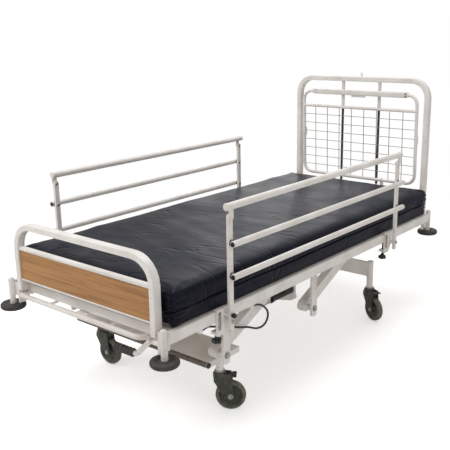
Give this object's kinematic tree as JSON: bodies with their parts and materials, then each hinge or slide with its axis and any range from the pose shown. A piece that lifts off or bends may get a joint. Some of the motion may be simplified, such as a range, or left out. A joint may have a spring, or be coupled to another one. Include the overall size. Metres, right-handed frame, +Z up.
{
  "type": "hospital bed",
  "caption": "Height-adjustable ward bed with folding safety sides, tilting mesh backrest, wood foot panel and braked castors.",
  "frame": {"origin": "floor level under the middle of the bed", "axes": "+X to the right seen from the foot end, +Y towards the head end, +Z up"},
  "size_m": [1.072, 2.1942, 1.243],
  "materials": {
    "cream_enamel": "semi-gloss",
    "oak_laminate": "satin",
    "coated_nylon": "coated",
    "black_rubber": "matte",
    "olive_castor_plastic": "satin",
    "grey_tyre": "matte",
    "black_plastic": "matte",
    "black_ram_paint": "gloss",
    "bright_steel": "ground"
  },
  "bodies": {
    "base": {"foot_plate": "cream_enamel", "head_beam": "cream_enamel", "base_rail_left": "cream_enamel", "base_rail_right": "cream_enamel", "ram_cylinder": "black_ram_paint"},
    "foot_arms": {"foot_lift_arms": "cream_enamel"},
    "head_arms": {"head_lift_arms": "cream_enamel"},
    "ram": {"ram_rod": "bright_steel"},
    "bed": {"side_rail_left": "cream_enamel", "side_rail_right": "cream_enamel", "foot_end_rail": "cream_enamel", "head_end_rail": "cream_enamel", "mattress_platform": "cream_enamel", "mattress": "coated_nylon", "foot_arch": "cream_enamel", "foot_panel": "oak_laminate", "head_arch": "cream_enamel", "control_cable": "black_plastic", "rail_clamp_foot_left": "cream_enamel", "rail_clamp_foot_right": "cream_enamel", "rail_clamp_head_left": "cream_enamel", "rail_clamp_head_right": "cream_enamel"},
    "backrest": {"backrest_frame": "cream_enamel", "backrest_mesh": "cream_enamel", "backrest_grip": "cream_enamel"},
    "rack": {"linen_rack": "cream_enamel"},
    "lever": {"pump_lever": "cream_enamel", "lever_grip": "black_rubber"},
    "castor_foot_right": {"castor_fork_foot_right": "olive_castor_plastic"},
    "wheel_foot_right": {"castor_wheel_foot_right": "grey_tyre"},
    "brake_foot_right": {"castor_brake_foot_right": "black_plastic"},
    "bumper_disc_foot_right": {"bumper_foot_right": "black_rubber"},
    "castor_foot_left": {"castor_fork_foot_left": "olive_castor_plastic"},
    "wheel_foot_left": {"castor_wheel_foot_left": "grey_tyre"},
    "brake_foot_left": {"castor_brake_foot_left": "black_plastic"},
    "bumper_disc_foot_left": {"bumper_foot_left": "black_rubber"},
    "castor_head_right": {"castor_fork_head_right": "olive_castor_plastic"},
    "wheel_head_right": {"castor_wheel_head_right": "grey_tyre"},
    "brake_head_right": {"castor_brake_head_right": "black_plastic"},
    "bumper_disc_head_right": {"bumper_head_right": "black_rubber"},
    "castor_head_left": {"castor_fork_head_left": "olive_castor_plastic"},
    "wheel_head_left": {"castor_wheel_head_left": "grey_tyre"},
    "brake_head_left": {"castor_brake_head_left": "black_plastic"},
    "bumper_disc_head_left": {"bumper_head_left": "black_rubber"},
    "foot_post_right": {"side_post_foot_right": "cream_enamel"},
    "head_post_right": {"side_post_head_right": "cream_enamel"},
    "low_bar_right": {"side_bar_low_right": "cream_enamel"},
    "mid_bar_right": {"side_bar_mid_right": "cream_enamel"},
    "top_bar_right": {"side_bar_top_right": "cream_enamel"},
    "pull_right": {"pull_knob_right": "black_plastic"},
    "knob_foot_right": {"clamp_knob_foot_right": "black_plastic"},
    "knob_head_right": {"clamp_knob_head_right": "black_plastic"},
    "foot_post_left": {"side_post_foot_left": "cream_enamel"},
    "head_post_left": {"side_post_head_left": "cream_enamel"},
    "low_bar_left": {"side_bar_low_left": "cream_enamel"},
    "mid_bar_left": {"side_bar_mid_left": "cream_enamel"},
    "top_bar_left": {"side_bar_top_left": "cream_enamel"},
    "pull_left": {"pull_knob_left": "black_plastic"},
    "knob_foot_left": {"clamp_knob_foot_left": "black_plastic"},
    "knob_head_left": {"clamp_knob_head_left": "black_plastic"}
  },
  "joints": [
    {"name": "foot_lift", "type": "hinge", "parent": "base", "child": "foot_arms", "pos_m": [0, -0.392, 0.442], "axis": [-1, 0, 0], "range_deg": [0, 60]},
    {"name": "head_lift", "type": "hinge", "parent": "base", "child": "head_arms", "pos_m": [0, 0.2145, 0.442], "axis": [-1, 0, 0], "range_deg": [0, 60]},
    {"name": "bed_level", "type": "hinge", "parent": "foot_arms", "child": "bed", "pos_m": [0, -0.722, 0.294], "axis": [-1, 0, 0], "range_deg": [-60, 0]},
    {"name": "ram_stroke", "type": "slide", "parent": "base", "child": "ram", "axis": [0, -1, 0], "range_m": [0, 0.087]},
    {"name": "backrest_tilt", "type": "hinge", "parent": "bed", "child": "backrest", "pos_m": [0, 1.03, 0.644], "axis": [1, 0, 0], "range_deg": [0, 55]},
    {"name": "rack_slide", "type": "slide", "parent": "bed", "child": "rack", "axis": [0, -1, 0], "range_m": [0, 0.35]},
    {"name": "lever_pump", "type": "hinge", "parent": "bed", "child": "lever", "pos_m": [0.424, -1, 0.418], "axis": [1, 0, 0], "range_deg": [-25, 25]},
    {"name": "swivel_foot_right", "type": "hinge", "parent": "base", "child": "castor_foot_right", "pos_m": [0.357, -0.645, 0.168], "axis": [0, 0, 1], "continuous": true},
    {"name": "spin_foot_right", "type": "hinge", "parent": "castor_foot_right", "child": "wheel_foot_right", "pos_m": [0.39179, -0.61972, 0.0625], "axis": [-0.5878, 0.809, 0], "continuous": true},
    {"name": "pedal_foot_right", "type": "hinge", "parent": "castor_foot_right", "child": "brake_foot_right", "pos_m": [0.38774, -0.62266, 0.152], "axis": [-0.5878, 0.809, 0], "range_deg": [0, 15]},
    {"name": "bumper_turn_foot_right", "type": "hinge", "parent": "bed", "child": "bumper_disc_foot_right", "pos_m": [0.45, -1.044, 0.384], "axis": [0, 0, 1], "continuous": true},
    {"name": "swivel_foot_left", "type": "hinge", "parent": "base", "child": "castor_foot_left", "pos_m": [-0.357, -0.645, 0.168], "axis": [0, 0, 1], "continuous": true},
    {"name": "spin_foot_left", "type": "hinge", "parent": "castor_foot_left", "child": "wheel_foot_left", "pos_m": [-0.31403, -0.6435, 0.0625], "axis": [-0.0349, 0.9994, 0], "continuous": true},
    {"name": "pedal_foot_left", "type": "hinge", "parent": "castor_foot_left", "child": "brake_foot_left", "pos_m": [-0.31902, -0.64367, 0.152], "axis": [-0.0349, 0.9994, 0], "range_deg": [0, 15]},
    {"name": "bumper_turn_foot_left", "type": "hinge", "parent": "bed", "child": "bumper_disc_foot_left", "pos_m": [-0.45, -1.044, 0.384], "axis": [0, 0, 1], "continuous": true},
    {"name": "swivel_head_right", "type": "hinge", "parent": "base", "child": "castor_head_right", "pos_m": [0.357, 0.575, 0.168], "axis": [0, 0, 1], "continuous": true},
    {"name": "spin_head_right", "type": "hinge", "parent": "castor_head_right", "child": "wheel_head_right", "pos_m": [0.39628, 0.55751, 0.0625], "axis": [0.4067, 0.9135, 0], "continuous": true},
    {"name": "pedal_head_right", "type": "hinge", "parent": "castor_head_right", "child": "brake_head_right", "pos_m": [0.39171, 0.55954, 0.152], "axis": [0.4067, 0.9135, 0], "range_deg": [0, 15]},
    {"name": "bumper_turn_head_right", "type": "hinge", "parent": "bed", "child": "bumper_disc_head_right", "pos_m": [0.45, 1.044, 0.384], "axis": [0, 0, 1], "continuous": true},
    {"name": "swivel_head_left", "type": "hinge", "parent": "base", "child": "castor_head_left", "pos_m": [-0.357, 0.575, 0.168], "axis": [0, 0, 1], "continuous": true},
    {"name": "spin_head_left", "type": "hinge", "parent": "castor_head_left", "child": "wheel_head_left", "pos_m": [-0.32406, 0.54736, 0.0625], "axis": [0.6428, 0.766, 0], "continuous": true},
    {"name": "pedal_head_left", "type": "hinge", "parent": "castor_head_left", "child": "brake_head_left", "pos_m": [-0.32789, 0.55057, 0.152], "axis": [0.6428, 0.766, 0], "range_deg": [0, 15]},
    {"name": "bumper_turn_head_left", "type": "hinge", "parent": "bed", "child": "bumper_disc_head_left", "pos_m": [-0.45, 1.044, 0.384], "axis": [0, 0, 1], "continuous": true},
    {"name": "side_fold_right", "type": "hinge", "parent": "bed", "child": "foot_post_right", "pos_m": [0.5, -0.74, 0.45], "axis": [-1, 0, 0], "range_deg": [0, 75]},
    {"name": "head_post_fold_right", "type": "hinge", "parent": "bed", "child": "head_post_right", "pos_m": [0.5, 0.549, 0.45], "axis": [-1, 0, 0], "range_deg": [0, 75]},
    {"name": "low_bar_level_right", "type": "hinge", "parent": "foot_post_right", "child": "low_bar_right", "pos_m": [0.5, -0.74, 0.63], "axis": [-1, 0, 0], "range_deg": [-75, 0]},
    {"name": "mid_bar_level_right", "type": "hinge", "parent": "foot_post_right", "child": "mid_bar_right", "pos_m": [0.5, -0.74, 0.755], "axis": [-1, 0, 0], "range_deg": [-75, 0]},
    {"name": "top_bar_level_right", "type": "hinge", "parent": "foot_post_right", "child": "top_bar_right", "pos_m": [0.5, -0.74, 0.851], "axis": [-1, 0, 0], "range_deg": [-75, 0]},
    {"name": "latch_pull_right", "type": "slide", "parent": "foot_post_right", "child": "pull_right", "axis": [1, 0, 0], "range_m": [0, 0.01], "stiffness_N_per_m": 400},
    {"name": "clamp_screw_foot_right", "type": "hinge", "parent": "bed", "child": "knob_foot_right", "pos_m": [0.452, -0.768, 0.38], "axis": [0, 0, 1], "continuous": true},
    {"name": "clamp_screw_head_right", "type": "hinge", "parent": "bed", "child": "knob_head_right", "pos_m": [0.452, 0.521, 0.38], "axis": [0, 0, 1], "continuous": true},
    {"name": "side_fold_left", "type": "hinge", "parent": "bed", "child": "foot_post_left", "pos_m": [-0.5, -0.74, 0.45], "axis": [-1, 0, 0], "range_deg": [0, 75]},
    {"name": "head_post_fold_left", "type": "hinge", "parent": "bed", "child": "head_post_left", "pos_m": [-0.5, 0.549, 0.45], "axis": [-1, 0, 0], "range_deg": [0, 75]},
    {"name": "low_bar_level_left", "type": "hinge", "parent": "foot_post_left", "child": "low_bar_left", "pos_m": [-0.5, -0.74, 0.63], "axis": [-1, 0, 0], "range_deg": [-75, 0]},
    {"name": "mid_bar_level_left", "type": "hinge", "parent": "foot_post_left", "child": "mid_bar_left", "pos_m": [-0.5, -0.74, 0.755], "axis": [-1, 0, 0], "range_deg": [-75, 0]},
    {"name": "top_bar_level_left", "type": "hinge", "parent": "foot_post_left", "child": "top_bar_left", "pos_m": [-0.5, -0.74, 0.851], "axis": [-1, 0, 0], "range_deg": [-75, 0]},
    {"name": "latch_pull_left", "type": "slide", "parent": "foot_post_left", "child": "pull_left", "axis": [-1, 0, 0], "range_m": [0, 0.01], "stiffness_N_per_m": 400},
    {"name": "clamp_screw_foot_left", "type": "hinge", "parent": "bed", "child": "knob_foot_left", "pos_m": [-0.452, -0.768, 0.38], "axis": [0, 0, 1], "continuous": true},
    {"name": "clamp_screw_head_left", "type": "hinge", "parent": "bed", "child": "knob_head_left", "pos_m": [-0.452, 0.521, 0.38], "axis": [0, 0, 1], "continuous": true}
  ],
  "couplings": [
    {"joint": "head_lift", "follows": "foot_lift", "ratio": 1},
    {"joint": "bed_level", "follows": "foot_lift", "ratio": -1},
    {"joint": "ram_stroke", "follows": "foot_lift", "m_per_rad": 0.0827},
    {"joint": "head_post_fold_right", "follows": "side_fold_right", "ratio": 1},
    {"joint": "low_bar_level_right", "follows": "side_fold_right", "ratio": -1},
    {"joint": "mid_bar_level_right", "follows": "side_fold_right", "ratio": -1},
    {"joint": "top_bar_level_right", "follows": "side_fold_right", "ratio": -1},
    {"joint": "head_post_fold_left", "follows": "side_fold_left", "ratio": 1},
    {"joint": "low_bar_level_left", "follows": "side_fold_left", "ratio": -1},
    {"joint": "mid_bar_level_left", "follows": "side_fold_left", "ratio": -1},
    {"joint": "top_bar_level_left", "follows": "side_fold_left", "ratio": -1}
  ]
}
